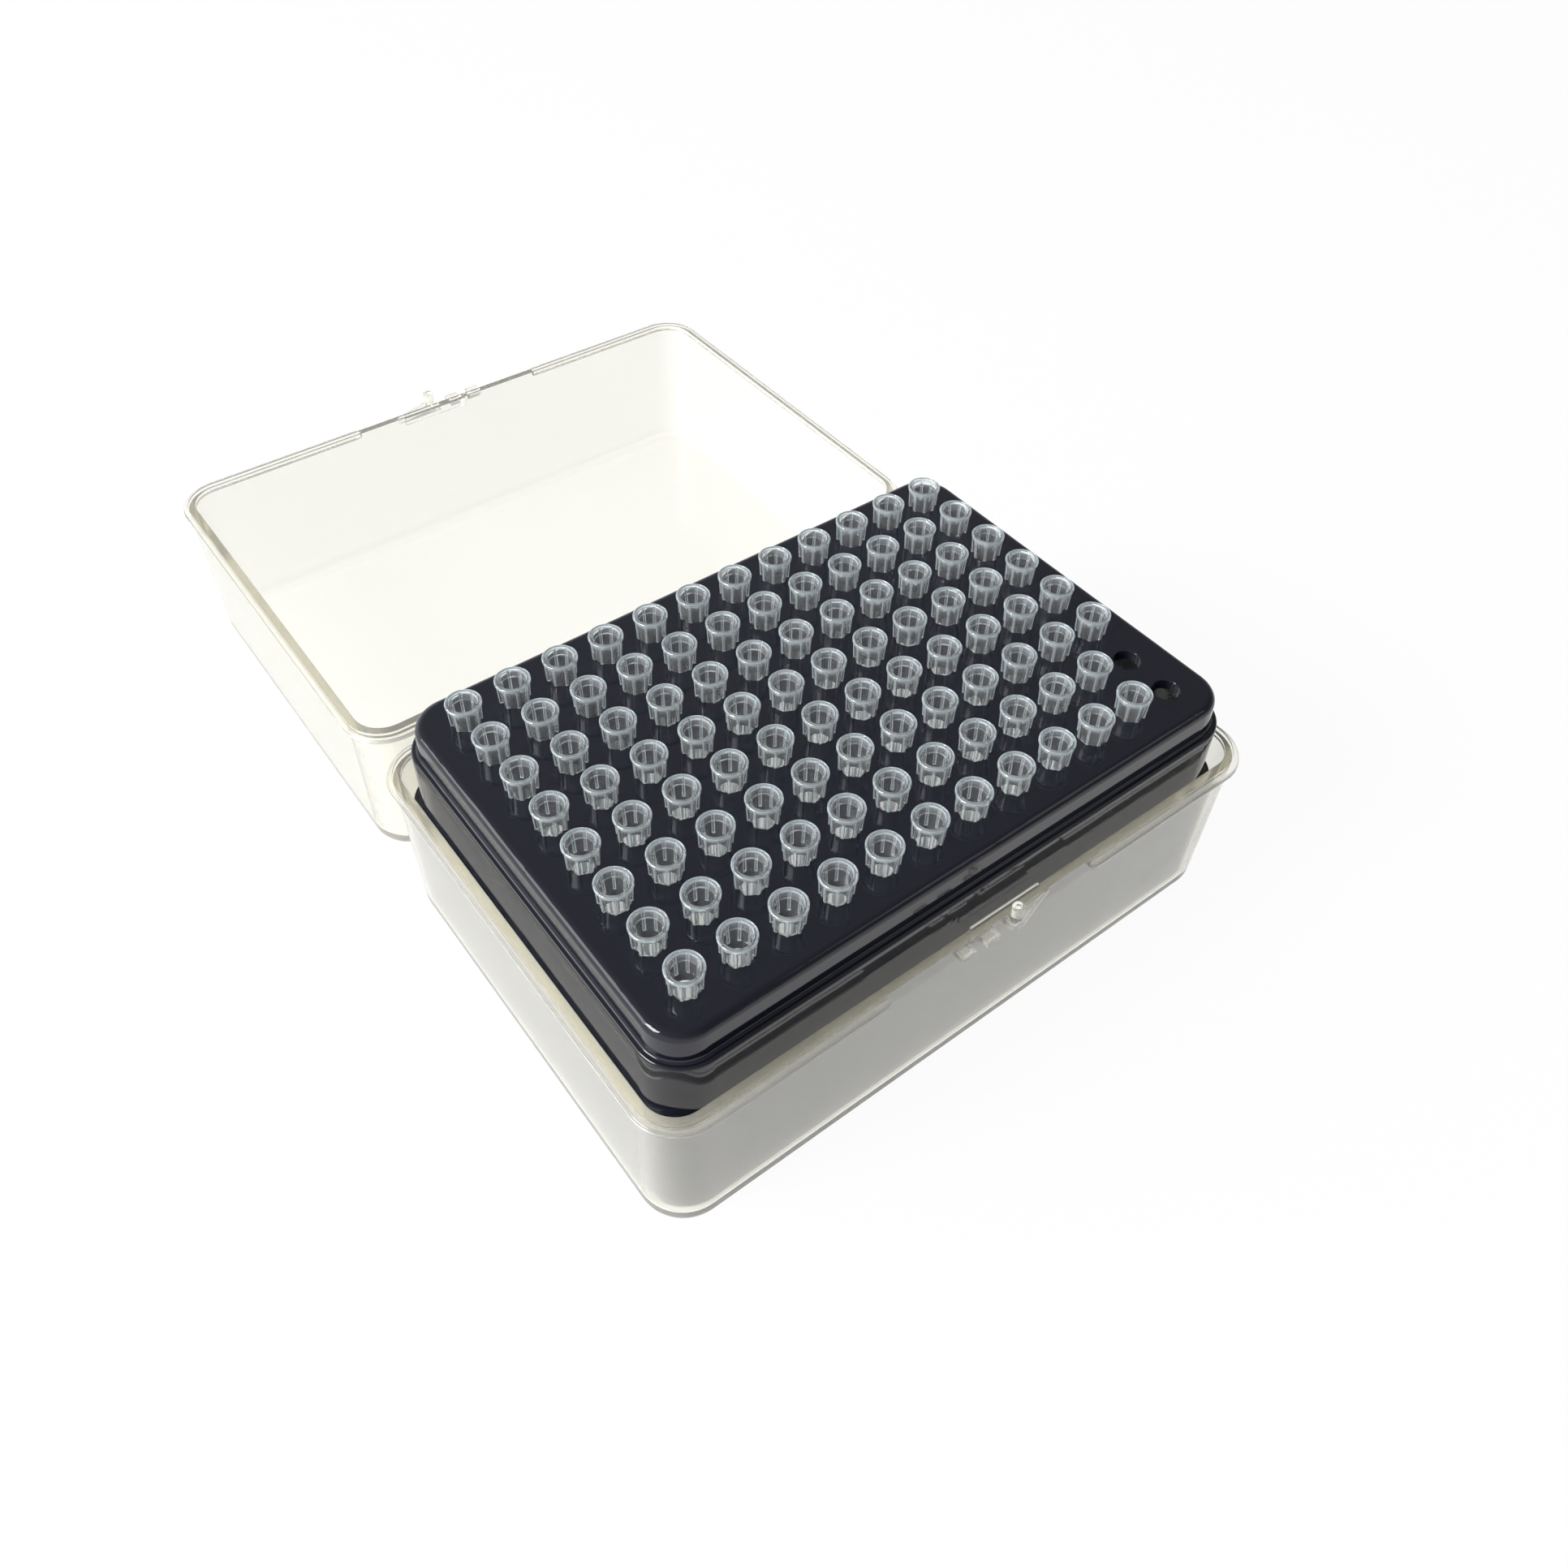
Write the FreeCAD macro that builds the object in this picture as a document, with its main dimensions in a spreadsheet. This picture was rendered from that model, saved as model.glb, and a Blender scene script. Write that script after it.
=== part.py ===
"""Hinged box of micropipette tips: tub, lid, living hinge, 96-hole rack and the tips that stand in it.

Millimetres. The origin is the centre of the tub's flat underside: X runs along the box,
-Y is the latch side, +Y the hinge side where the open lid lies, and +Z is up.
"""
import FreeCAD, Part
import math
import os
import Sketcher
from FreeCAD import Rotation, Vector

doc = FreeCAD.newDocument("TipBox")

# ---------------------------------------------------------------- driving dimensions
DIMENSIONS = [
    # tips: diameters are outside unless they are a bore's
    ("tip_length", 46.5, "orifice to collar top"),
    ("collar_height", 4.5, "deck to collar top"),
    ("neck_diameter", 4.45, "tip where it passes the deck"),
    ("neck_wall", 0.295, "tip wall at the deck"),
    ("ring_depth", 0.6, "plain ring at the collar top"),
    ("ring_edge", 0.12, "chamfer on the ring's outer edges"),
    ("ring_overhang", 0.15, "ring beyond the ribs"),
    ("ring_wall", 0.365, "collar wall between the ribs, under the ring"),
    ("rib_count", 8.0, "ribs round the collar"),
    ("rib_width", 0.55, "rib thickness"),
    ("rib_bearing", 0.33, "how far a rib's foot reaches past the edge of the hole"),
    ("rib_flare", 0.185, "rib's lean outwards from its foot to the ring"),
    ("rib_round", 0.15, "round on a rib's outer edges and its foot"),
    ("window_depth", 0.25, "ribs stand out this far from the collar, under the ring"),
    ("lead_in", 0.3, "depth of the lead-in at the bore's mouth"),
    ("lead_in_reach", 0.15, "how far the lead-in widens the bore"),
    ("bore_step_depth", 1.5, "collar top down to the step in the bore"),
    ("bore_ledge", 0.2, "width of that step"),
    ("upper_step_drop", 4.6, "deck down to the upper outside step"),
    ("barrel_diameter", 3.56, "barrel under the upper step"),
    ("upper_step", 0.17, "how far the upper step stands out"),
    ("barrel_wall", 0.355, "tip wall at the upper step"),
    ("lower_step_height", 12.8, "orifice to the lower outside step"),
    ("fine_diameter", 2.25, "fine end under the lower step"),
    ("lower_step", 0.125, "how far the lower step stands out"),
    ("fine_wall", 0.2, "tip wall at the lower step"),
    ("orifice_diameter", 0.9, "outside of the orifice"),
    ("orifice_wall", 0.225, "tip wall at the orifice"),
    ("step_edge", 0.3, "slope of each outside step"),
    # rack: sized round the grid of tips
    ("pitch", 9.0, "tip spacing both ways"),
    ("columns", 12.0, "tips along X"),
    ("rows", 8.0, "tips along Y"),
    ("neck_play", 0.125, "tip to hole, each side"),
    ("hole_bevel", 0.1, "bevel round each hole"),
    ("end_margin", 8.4, "outermost tips to the ends of the crown"),
    ("side_margin", 7.9, "outermost tips to the sides of the crown"),
    ("tip_clearance", 1.5, "tub floor to the tips' orifices"),
    ("deck_depth", 2.0, "deck thickness"),
    ("rack_wall", 1.5, "rack wall thickness"),
    ("crown_depth", 5.7, "deck down to the ledge"),
    ("crown_round", 6.6, "crown corner radius"),
    ("crown_lean", 0.25, "draft of the crown"),
    ("crown_edge", 1.4, "round on the deck's outer edge"),
    ("ledge_end", 1.05, "ledge at the ends of the crown"),
    ("ledge_side", 1.3, "ledge along the sides of the crown"),
    ("ledge_edge", 0.5, "round on the ledge"),
    ("middle_round", 7.8, "corner radius below the ledge"),
    ("skirt_height", 26.0, "underside of the tub to the top of the skirt"),
    ("skirt_end", 0.85, "skirt beyond the wall above it, at the ends"),
    ("skirt_side", 0.75, "skirt beyond the wall above it, along the sides"),
    ("skirt_round", 6.6, "skirt corner radius"),
    ("skirt_lean", 0.25, "draft of the skirt"),
    ("skirt_chamfer", 1.2, "chamfer round the skirt's foot"),
    # box halves: tub and lid are the same moulding
    ("rack_clearance", 0.75, "skirt to the tub's mouth, each side"),
    ("mouth_round", 5.6, "inside corner radius at the mouth"),
    ("half_height", 32.0, "underside to rim"),
    ("shell", 1.45, "wall thickness"),
    ("floor_depth", 1.5, "floor thickness"),
    ("lean", 0.55, "draft: how far each wall leans in from rim to underside"),
    ("foot_round", 8.0, "outside corner radius at the underside"),
    ("foot_edge", 1.6, "round between walls and underside"),
    ("inner_edge", 1.2, "round between inner walls and floor"),
    # stiffening flange below the rim
    ("flange_reach", 1.4, "flange beyond the wall, along the sides"),
    ("flange_end", 1.0, "flange beyond the wall, at the ends"),
    ("flange_depth", 1.2, "flange thickness"),
    ("flange_drop", 0.5, "rim down to the flange"),
    ("flange_edge", 0.5, "round on the flange's edges"),
    ("bay_length", 42.8, "break in the flange where the latch sits"),
    ("bay_round", 1.0, "round on the ends of the flange at the latch"),
    ("root_overlap", 0.7, "how far flange, lands and latch run into the wall"),
    # latch: a slotted clip and, beside it, a post on a gusset
    ("latch_offset", 4.1, "box centre to post and to slot, along X"),
    ("latch_line", 1.0, "wall to the centre of post and slot"),
    ("latch_drop", 0.4, "rim down to the top of clip and gusset"),
    ("latch_depth", 1.2, "height of clip and gusset"),
    ("clip_length", 7.8, "clip along the wall"),
    ("clip_reach", 2.0, "clip beyond the wall"),
    ("post_diameter", 2.05, "post"),
    ("post_play", 0.15, "post to slot, each side"),
    ("post_height", 2.4, "post above the rim"),
    ("post_margin", 0.68, "post to the near end of the gusset"),
    ("gusset_length", 10.3, "gusset along the wall"),
    ("gusset_reach", 2.35, "gusset beyond the wall"),
    ("gusset_flat", 0.6, "straight front of the gusset beyond the post"),
    ("gusset_nose", 0.9, "round on the gusset's front corners"),
    ("recess_depth", 0.4, "hollows in the tops of clip and gusset"),
    ("recess_lip", 0.42, "lip left round those hollows"),
    ("dimple_diameter", 1.0, "dimple in the top of the post"),
    ("dimple_depth", 0.5, "depth of that dimple"),
    ("backing_centre", 4.0, "middle of the thicker wall behind the latch, along X"),
    ("backing_length", 14.8, "thicker wall behind the latch"),
    ("backing_depth", 0.4, "how far it stands into the mouth"),
    # living hinge
    ("hinge_gap", 1.15, "flange to the hinge line"),
    ("hinge_end", 15.85, "end of the rim to the end of the hinge"),
    ("web_width", 1.8, "thin web between the two halves"),
    ("web_depth", 0.45, "web thickness at its roots"),
    ("crease_depth", 0.25, "web thickness at the crease"),
    ("land_depth", 1.2, "thickness of the lands that the web grows from"),
]

sheet = doc.addObject("Spreadsheet::Sheet", "Sizes")
for row, (alias, value, meaning) in enumerate(DIMENSIONS, start=1):
    sheet.set(f"A{row}", meaning)
    sheet.set(f"B{row}", str(value))
    sheet.setAlias(f"B{row}", alias)
doc.recompute()

# Tip: from the neck outwards, each size adds its own clearance or step to the last.
HOLE = "(Sizes.neck_diameter + 2 * Sizes.neck_play)"
RIB_FOOT = f"({HOLE} + 2 * Sizes.rib_bearing)"
RIB_TOP = f"({RIB_FOOT} + 2 * Sizes.rib_flare)"
COLLAR = f"({RIB_TOP} + 2 * Sizes.ring_overhang)"
CORE_TOP = f"({RIB_TOP} - 2 * Sizes.window_depth)"
BORE_SEAT = f"({CORE_TOP} - 2 * Sizes.ring_wall)"
BORE_DECK = "(Sizes.neck_diameter - 2 * Sizes.neck_wall)"
TIP_DECK = "(Sizes.tip_length - Sizes.collar_height)"

# Rack: three tiers, each a step outside the one above, round the grid of tips.
GRID_LENGTH = "(Sizes.pitch * (Sizes.columns - 1))"
GRID_WIDTH = "(Sizes.pitch * (Sizes.rows - 1))"
CROWN_LENGTH = f"({GRID_LENGTH} + 2 * Sizes.end_margin)"
CROWN_WIDTH = f"({GRID_WIDTH} + 2 * Sizes.side_margin)"
MIDDLE_LENGTH = f"({CROWN_LENGTH} + 2 * Sizes.ledge_end)"
MIDDLE_WIDTH = f"({CROWN_WIDTH} + 2 * Sizes.ledge_side)"
SKIRT_LENGTH = f"({MIDDLE_LENGTH} + 2 * Sizes.skirt_end)"
SKIRT_WIDTH = f"({MIDDLE_WIDTH} + 2 * Sizes.skirt_side)"
DECK = f"(Sizes.floor_depth + Sizes.tip_clearance + {TIP_DECK})"
LEDGE = f"({DECK} - Sizes.crown_depth)"

# Box: the mouth takes the rack, and the hinge and the latch stand off the wall.
MOUTH_LENGTH = f"({SKIRT_LENGTH} + 2 * Sizes.rack_clearance)"
MOUTH_WIDTH = f"({SKIRT_WIDTH} + 2 * Sizes.rack_clearance)"
RIM_LENGTH = f"({MOUTH_LENGTH} + 2 * Sizes.shell)"
RIM_WIDTH = f"({MOUTH_WIDTH} + 2 * Sizes.shell)"
WALL_FACE = f"({MOUTH_WIDTH} / 2 + Sizes.shell)"
FLANGE_TOP = "Sizes.half_height - Sizes.flange_drop"
LATCH_TOP = "Sizes.half_height - Sizes.latch_drop"
CLIP_LEFT = "(-Sizes.latch_offset - Sizes.clip_length / 2)"
CLIP_RIGHT = "(-Sizes.latch_offset + Sizes.clip_length / 2)"
CLIP_FACE = f"-{WALL_FACE} - Sizes.clip_reach"
SLOT_RADIUS = "(Sizes.post_diameter / 2 + Sizes.post_play)"
GUSSET_FACE = f"-{WALL_FACE} - Sizes.gusset_reach"
GUSSET_START = "(Sizes.latch_offset - Sizes.post_diameter / 2 - Sizes.post_margin)"
GUSSET_END = f"({GUSSET_START} + Sizes.gusset_length)"
HINGE_LINE = f"({WALL_FACE} + Sizes.flange_reach + Sizes.hinge_gap)"
HINGE_END = f"({RIM_LENGTH} / 2 - Sizes.hinge_end)"
WEB_TOP = f"({FLANGE_TOP} - Sizes.web_depth / 2)"

# Coordinates closer than this count as the same when edges are picked.
TOUCH = 0.01

# Column and row of the two missing tips: the last column's pair next to the latch side.
EMPTY_SEATS = {(11, 0), (11, 1)}

# Each tip drops in at its own angle: the golden angle keeps neighbours from matching.
TURN_STEP = 137.5


def size(expression):
    """Return the value of a spreadsheet expression in millimetres."""
    value = sheet.evalExpression(expression)
    return getattr(value, "Value", value)


# ---------------------------------------------------------------- sketches
def origin_feature(body, role):
    """Return one of the body's own origin planes or axes, such as XY_Plane."""
    return next(item for item in body.Origin.OriginFeatures if item.Role == role)


def new_sketch(body, name, role="XY_Plane", offset="0"):
    """Add a sketch on an origin plane, moved along the plane's normal by an expression."""
    sketch = body.newObject("Sketcher::SketchObject", name)
    sketch.AttachmentSupport = [(origin_feature(body, role), "")]
    sketch.MapMode = "FlatFace"
    sketch.setExpression("AttachmentOffset.Base.z", offset)
    return sketch


def dimension(sketch, kind, *arguments, expression):
    """Add one dimensional constraint whose value follows a spreadsheet expression."""
    index = sketch.addConstraint(Sketcher.Constraint(kind, *arguments, size(expression)))
    sketch.setExpression(f"Constraints[{index}]", expression)


def rounded_rectangle(sketch, length, width, radius):
    """Draw a rounded rectangle centred on the sketch origin; its sizes are expressions."""
    half_x = size(length) / 2
    half_y = size(width) / 2
    r = size(radius)
    sides = [
        (Vector(r - half_x, -half_y), Vector(half_x - r, -half_y)),
        (Vector(half_x, r - half_y), Vector(half_x, half_y - r)),
        (Vector(half_x - r, half_y), Vector(r - half_x, half_y)),
        (Vector(-half_x, half_y - r), Vector(-half_x, r - half_y)),
    ]
    lines = [sketch.addGeometry(Part.LineSegment(*side), False) for side in sides]
    arcs = []
    for turn in range(4):
        angle = (turn - 1) * math.pi / 2
        side_x = 1 if turn in (0, 1) else -1
        side_y = 1 if turn in (1, 2) else -1
        centre = Vector(side_x * (half_x - r), side_y * (half_y - r))
        circle = Part.Circle(centre, Vector(0, 0, 1), r)
        arcs.append(sketch.addGeometry(Part.ArcOfCircle(circle, angle, angle + math.pi / 2), False))
    for turn in range(4):
        sketch.addConstraint(Sketcher.Constraint("Tangent", lines[turn], 2, arcs[turn], 1))
        sketch.addConstraint(Sketcher.Constraint("Tangent", arcs[turn], 2, lines[(turn + 1) % 4], 1))
        sketch.addConstraint(Sketcher.Constraint("Vertical" if turn % 2 else "Horizontal", lines[turn]))
    for turn in range(1, 4):
        sketch.addConstraint(Sketcher.Constraint("Equal", arcs[0], arcs[turn]))
    sketch.addConstraint(Sketcher.Constraint("Symmetric", lines[0], 1, lines[2], 1, -1, 1))
    dimension(sketch, "Radius", arcs[0], expression=radius)
    dimension(sketch, "DistanceX", lines[3], 1, lines[1], 1, expression=length)
    dimension(sketch, "DistanceY", lines[0], 1, lines[2], 1, expression=width)


def outline(sketch, points):
    """Draw a closed polygon whose corners are pairs of expressions measured from the origin."""
    corners = [Vector(size(x), size(y)) for x, y in points]
    count = len(corners)
    for index, corner in enumerate(corners):
        sketch.addGeometry(Part.LineSegment(corner, corners[(index + 1) % count]), False)
    for index, (x, y) in enumerate(points):
        sketch.addConstraint(Sketcher.Constraint("Coincident", (index - 1) % count, 2, index, 1))
        place_point(sketch, index, 1, x, y)


def box_corners(left, right, front, back):
    """Return a rectangle's corners from the expressions of its four sides."""
    return [(left, front), (right, front), (right, back), (left, back)]


def place_point(sketch, geometry, vertex, x, y):
    """Hold one point of a sketch at two expressions measured from the origin."""
    dimension(sketch, "DistanceX", -1, 1, geometry, vertex, expression=x)
    dimension(sketch, "DistanceY", -1, 1, geometry, vertex, expression=y)


def disc(sketch, diameter, x="0", y="0"):
    """Draw a circle; its diameter and centre are expressions."""
    centre = Vector(size(x), size(y))
    index = sketch.addGeometry(Part.Circle(centre, Vector(0, 0, 1), size(diameter) / 2), False)
    dimension(sketch, "Diameter", index, expression=diameter)
    place_point(sketch, index, 3, x, y)


# ---------------------------------------------------------------- features
def pad(body, name, sketch, length, midplane=False):
    """Extrude a sketch along its normal."""
    feature = body.newObject("PartDesign::Pad", name)
    feature.Profile = sketch
    feature.setExpression("Length", length)
    feature.Midplane = midplane
    doc.recompute()
    return feature


def pocket(body, name, sketch, length, upwards=False):
    """Cut a sketch out of the body, down from its plane or up from it."""
    before = body.Shape.Volume
    feature = body.newObject("PartDesign::Pocket", name)
    feature.Profile = sketch
    feature.setExpression("Length", length)
    feature.Reversed = upwards
    doc.recompute()
    if body.Shape.Volume >= before:
        raise RuntimeError(f"{name} cuts nothing")
    return feature


def rounded_loft(body, name, lower, upper, cut=False):
    """Loft between two rounded rectangles, each given as (height, length, width, radius)."""
    sections = []
    for suffix, (height, length, width, radius) in zip(("Lower", "Upper"), (lower, upper)):
        sketch = new_sketch(body, name + suffix, offset=height)
        rounded_rectangle(sketch, length, width, radius)
        sections.append(sketch)
    kind = "PartDesign::SubtractiveLoft" if cut else "PartDesign::AdditiveLoft"
    feature = body.newObject(kind, name)
    feature.Profile = sections[0]
    feature.Sections = [sections[1]]
    feature.Ruled = True
    doc.recompute()
    return feature


def edges_where(shape, test, upright):
    """Return the names of the edges, or only the upright ones, whose sampled points pass the test."""
    names = []
    for index, edge in enumerate(shape.Edges, start=1):
        if upright and edge.BoundBox.ZLength < edge.Length - TOUCH:
            continue
        if all(test(point) for point in edge.discretize(5)):
            names.append(f"Edge{index}")
    return names


def near(value, expression):
    """Tell whether a coordinate lies at an expression's value."""
    return abs(value - size(expression)) < TOUCH


def fillet(body, name, radius, test, upright=False):
    """Round every edge of the body, or only each upright one, that passes the test."""
    base = body.Tip
    feature = body.newObject("PartDesign::Fillet", name)
    feature.Base = (base, edges_where(base.Shape, test, upright))
    feature.setExpression("Radius", radius)
    doc.recompute()
    return feature


# ---------------------------------------------------------------- tub and lid
def build_half(label):
    """Model one half of the box: drafted tray, flange, hinge land and its share of the latch."""
    body = doc.addObject("PartDesign::Body", label)
    add_flange(body)
    add_hinge_land(body)
    rounded_loft(
        body, "Walls",
        ("0", f"{RIM_LENGTH} - 2 * Sizes.lean", f"{RIM_WIDTH} - 2 * Sizes.lean", "Sizes.foot_round"),
        ("Sizes.half_height", RIM_LENGTH, RIM_WIDTH, "Sizes.mouth_round + Sizes.shell"),
    )
    fillet(body, "FootEdge", "Sizes.foot_edge", lambda p: near(p.z, "0"))
    add_latch(body)
    hollow_half(body)
    return body


def add_flange(body):
    """Pad the flange slab, break it at the latch and round its edges."""
    underside = f"{FLANGE_TOP} - Sizes.flange_depth"
    slab = new_sketch(body, "FlangeOutline", offset=underside)
    rounded_rectangle(
        slab,
        f"{RIM_LENGTH} + 2 * Sizes.flange_end",
        f"{RIM_WIDTH} + 2 * Sizes.flange_reach",
        "Sizes.mouth_round + Sizes.shell + Sizes.flange_reach",
    )
    pad(body, "Flange", slab, "Sizes.flange_depth")
    bay = new_sketch(body, "LatchBayOutline", offset=FLANGE_TOP)
    inner = f"-{WALL_FACE} + Sizes.root_overlap"
    outer = f"-{WALL_FACE} - 2 * Sizes.flange_reach"
    outline(bay, box_corners("-Sizes.bay_length / 2", "Sizes.bay_length / 2", outer, inner))
    pocket(body, "LatchBay", bay, "Sizes.flange_depth")
    front = f"-{WALL_FACE} - Sizes.flange_reach"
    fillet(
        body, "FlangeEnds", "Sizes.bay_round",
        lambda p: near(abs(p.x), "Sizes.bay_length / 2") and near(p.y, front),
        upright=True,
    )
    fillet(body, "FlangeEdges", "Sizes.flange_edge", on_flange_outline)


def on_flange_outline(point):
    """Tell whether a point lies on the flange's outer border, above or below."""
    if abs(point.x) < size("Sizes.bay_length / 2") - TOUCH:
        return point.y > 0
    radius = size("Sizes.mouth_round + Sizes.shell")
    x = max(abs(point.x) - (size(RIM_LENGTH) / 2 - radius), 0)
    y = max(abs(point.y) - (size(RIM_WIDTH) / 2 - radius), 0)
    return math.hypot(x, y) > radius + TOUCH


def add_hinge_land(body):
    """Pad the straight land along the back of the flange that the web grows from."""
    land = new_sketch(body, "HingeLandOutline", offset=f"{FLANGE_TOP} - Sizes.land_depth")
    outline(land, box_corners(
        f"-{HINGE_END}", HINGE_END,
        f"{WALL_FACE} - Sizes.root_overlap", f"{HINGE_LINE} - Sizes.web_width / 2",
    ))
    pad(body, "HingeLand", land, "Sizes.land_depth")


def add_latch(body):
    """Pad the slotted clip, the gusset and the post that enters the other half's slot."""
    root = f"-{WALL_FACE} + Sizes.root_overlap"
    underside = f"{LATCH_TOP} - Sizes.latch_depth"
    clip = new_sketch(body, "ClipOutline", offset=underside)
    outline(clip, box_corners(CLIP_LEFT, CLIP_RIGHT, CLIP_FACE, root))
    pad(body, "Clip", clip, "Sizes.latch_depth")
    gusset = new_sketch(body, "GussetOutline", offset=underside)
    outline(gusset, [
        (GUSSET_START, root),
        (GUSSET_START, GUSSET_FACE),
        ("Sizes.latch_offset + Sizes.gusset_flat", GUSSET_FACE),
        (GUSSET_END, f"-{WALL_FACE}"),
        (GUSSET_END, root),
    ])
    pad(body, "Gusset", gusset, "Sizes.latch_depth")
    fillet(
        body, "GussetNose", "Sizes.gusset_nose",
        lambda p: near(p.y, GUSSET_FACE) and p.x > 0 and p.z > size(underside) - TOUCH,
        upright=True,
    )
    cut_slot(body)
    cut_recesses(body)
    seat = f"-{WALL_FACE} - Sizes.latch_line"
    post = new_sketch(body, "PostOutline", offset=f"{LATCH_TOP} - Sizes.recess_depth")
    disc(post, "Sizes.post_diameter", "Sizes.latch_offset", seat)
    pad(body, "Post", post, "Sizes.post_height + Sizes.latch_drop + Sizes.recess_depth")
    dimple = new_sketch(body, "DimpleOutline", offset="Sizes.half_height + Sizes.post_height")
    disc(dimple, "Sizes.dimple_diameter", "Sizes.latch_offset", seat)
    pocket(body, "Dimple", dimple, "Sizes.dimple_depth")


def cut_recesses(body):
    """Hollow the tops of the clip's two lobes and of the gusset, leaving a lip outside."""
    lip = "Sizes.recess_lip"
    slot_edge = f"({SLOT_RADIUS} + Sizes.recess_lip)"
    wall_line = f"-{WALL_FACE}"
    lobes = (
        ("NearLobe", f"{CLIP_LEFT} + {lip}", f"-Sizes.latch_offset - {slot_edge}"),
        ("FarLobe", f"-Sizes.latch_offset + {slot_edge}", f"{CLIP_RIGHT} - {lip}"),
    )
    for name, left, right in lobes:
        sketch = new_sketch(body, name + "Outline", offset=LATCH_TOP)
        outline(sketch, box_corners(left, right, f"{CLIP_FACE} + {lip}", wall_line))
        pocket(body, name, sketch, "Sizes.recess_depth")
    sketch = new_sketch(body, "GussetHollowOutline", offset=LATCH_TOP)
    outline(sketch, [
        (f"{GUSSET_START} + {lip}", wall_line),
        (f"{GUSSET_START} + {lip}", f"{GUSSET_FACE} + {lip}"),
        ("Sizes.latch_offset + Sizes.gusset_flat", f"{GUSSET_FACE} + {lip}"),
        (f"{GUSSET_END} - 4 * {lip}", wall_line),
    ])
    pocket(body, "GussetHollow", sketch, "Sizes.recess_depth")


def cut_slot(body):
    """Cut the slot for the other half's post: a round seat that opens away from the wall."""
    seat = f"-{WALL_FACE} - Sizes.latch_line"
    slot = new_sketch(body, "SlotOutline", offset=LATCH_TOP)
    radius = size(SLOT_RADIUS)
    centre = Vector(-size("Sizes.latch_offset"), size(seat))
    mouth = size(f"-{WALL_FACE} - 2 * Sizes.clip_reach")
    left = Vector(centre.x - radius, centre.y)
    right = Vector(centre.x + radius, centre.y)
    far_left = Vector(left.x, mouth)
    far_right = Vector(right.x, mouth)
    circle = Part.Circle(centre, Vector(0, 0, 1), radius)
    arc = slot.addGeometry(Part.ArcOfCircle(circle, 0, math.pi), False)
    side = slot.addGeometry(Part.LineSegment(left, far_left), False)
    end = slot.addGeometry(Part.LineSegment(far_left, far_right), False)
    back = slot.addGeometry(Part.LineSegment(far_right, right), False)
    slot.addConstraint(Sketcher.Constraint("Tangent", arc, 2, side, 1))
    slot.addConstraint(Sketcher.Constraint("Coincident", side, 2, end, 1))
    slot.addConstraint(Sketcher.Constraint("Coincident", end, 2, back, 1))
    slot.addConstraint(Sketcher.Constraint("Tangent", back, 2, arc, 1))
    slot.addConstraint(Sketcher.Constraint("Vertical", side))
    slot.addConstraint(Sketcher.Constraint("Horizontal", end))
    dimension(slot, "Radius", arc, expression=SLOT_RADIUS)
    place_point(slot, arc, 3, "-Sizes.latch_offset", seat)
    dimension(slot, "DistanceY", -1, 1, side, 2, expression=f"-{WALL_FACE} - 2 * Sizes.clip_reach")
    pocket(body, "Slot", slot, "Sizes.latch_depth")


def hollow_half(body):
    """Cut the drafted cavity out of a half and round the edge of its floor."""
    rounded_loft(
        body, "Cavity",
        ("Sizes.floor_depth", f"{MOUTH_LENGTH} - 2 * Sizes.lean",
         f"{MOUTH_WIDTH} - 2 * Sizes.lean", "Sizes.foot_round - Sizes.shell"),
        ("Sizes.half_height", MOUTH_LENGTH, MOUTH_WIDTH, "Sizes.mouth_round"),
        cut=True,
    )
    fillet(
        body, "InnerEdge", "Sizes.inner_edge",
        lambda p: near(p.z, "Sizes.floor_depth"),
    )
    backing = new_sketch(body, "BackingOutline", offset=f"{FLANGE_TOP} - Sizes.flange_depth")
    outline(backing, box_corners(
        "Sizes.backing_centre - Sizes.backing_length / 2",
        "Sizes.backing_centre + Sizes.backing_length / 2",
        f"-{WALL_FACE} + Sizes.root_overlap", f"-{MOUTH_WIDTH} / 2 + Sizes.backing_depth",
    ))
    pad(body, "Backing", backing, "Sizes.flange_depth + Sizes.flange_drop")


def build_hinge_web(label):
    """Model the thin flexible web between the two lands, thinned at the crease."""
    body = doc.addObject("PartDesign::Body", label)
    profile = new_sketch(body, "WebProfile", role="YZ_Plane")
    near_root = f"{HINGE_LINE} - Sizes.web_width / 2"
    far_root = f"{HINGE_LINE} + Sizes.web_width / 2"
    underside = f"{WEB_TOP} - Sizes.web_depth"
    crease = f"{WEB_TOP} - Sizes.crease_depth"
    outline(profile, [
        (near_root, underside),
        (f"{HINGE_LINE} - Sizes.web_width / 6", crease),
        (f"{HINGE_LINE} + Sizes.web_width / 6", crease),
        (far_root, underside), (far_root, WEB_TOP), (near_root, WEB_TOP),
    ])
    pad(body, "Web", profile, f"2 * ({HINGE_END} - Sizes.web_width)", midplane=True)
    return body


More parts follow.
